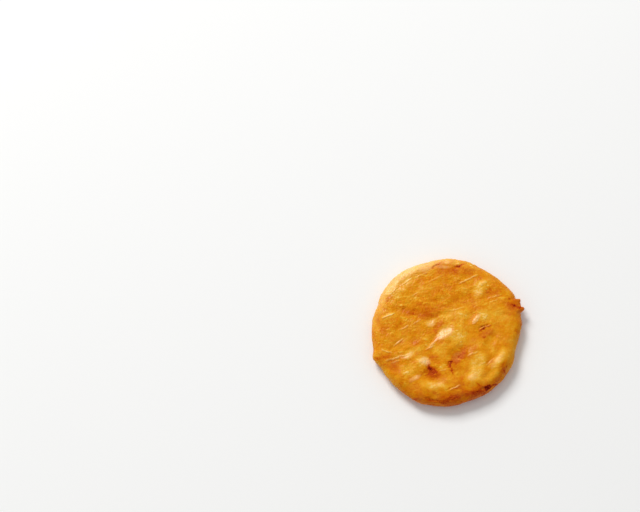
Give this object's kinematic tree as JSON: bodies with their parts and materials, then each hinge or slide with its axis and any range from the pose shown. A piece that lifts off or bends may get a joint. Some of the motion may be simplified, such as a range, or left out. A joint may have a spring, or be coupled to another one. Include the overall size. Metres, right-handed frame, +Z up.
{
  "type": "rice cracker",
  "caption": "Round puffed rice cracker with a glazed, blistered top, a rounded irregular edge and a flat baked underside.",
  "frame": {"origin": "on the table, under the middle of the cracker's outline", "axes": "+Z up through the glazed top; +X to the cracker's right and +Y to its far side as the picture shows it"},
  "size_m": [0.0494, 0.05, 0.0064],
  "materials": {
    "glazed_rice_crust": "toasted golden-orange rice crust under a thin satin soy glaze, browner on the rim, with small burnt splits"
  },
  "bodies": {
    "root": {"rice_cracker": "glazed_rice_crust"}
  },
  "joints": []
}
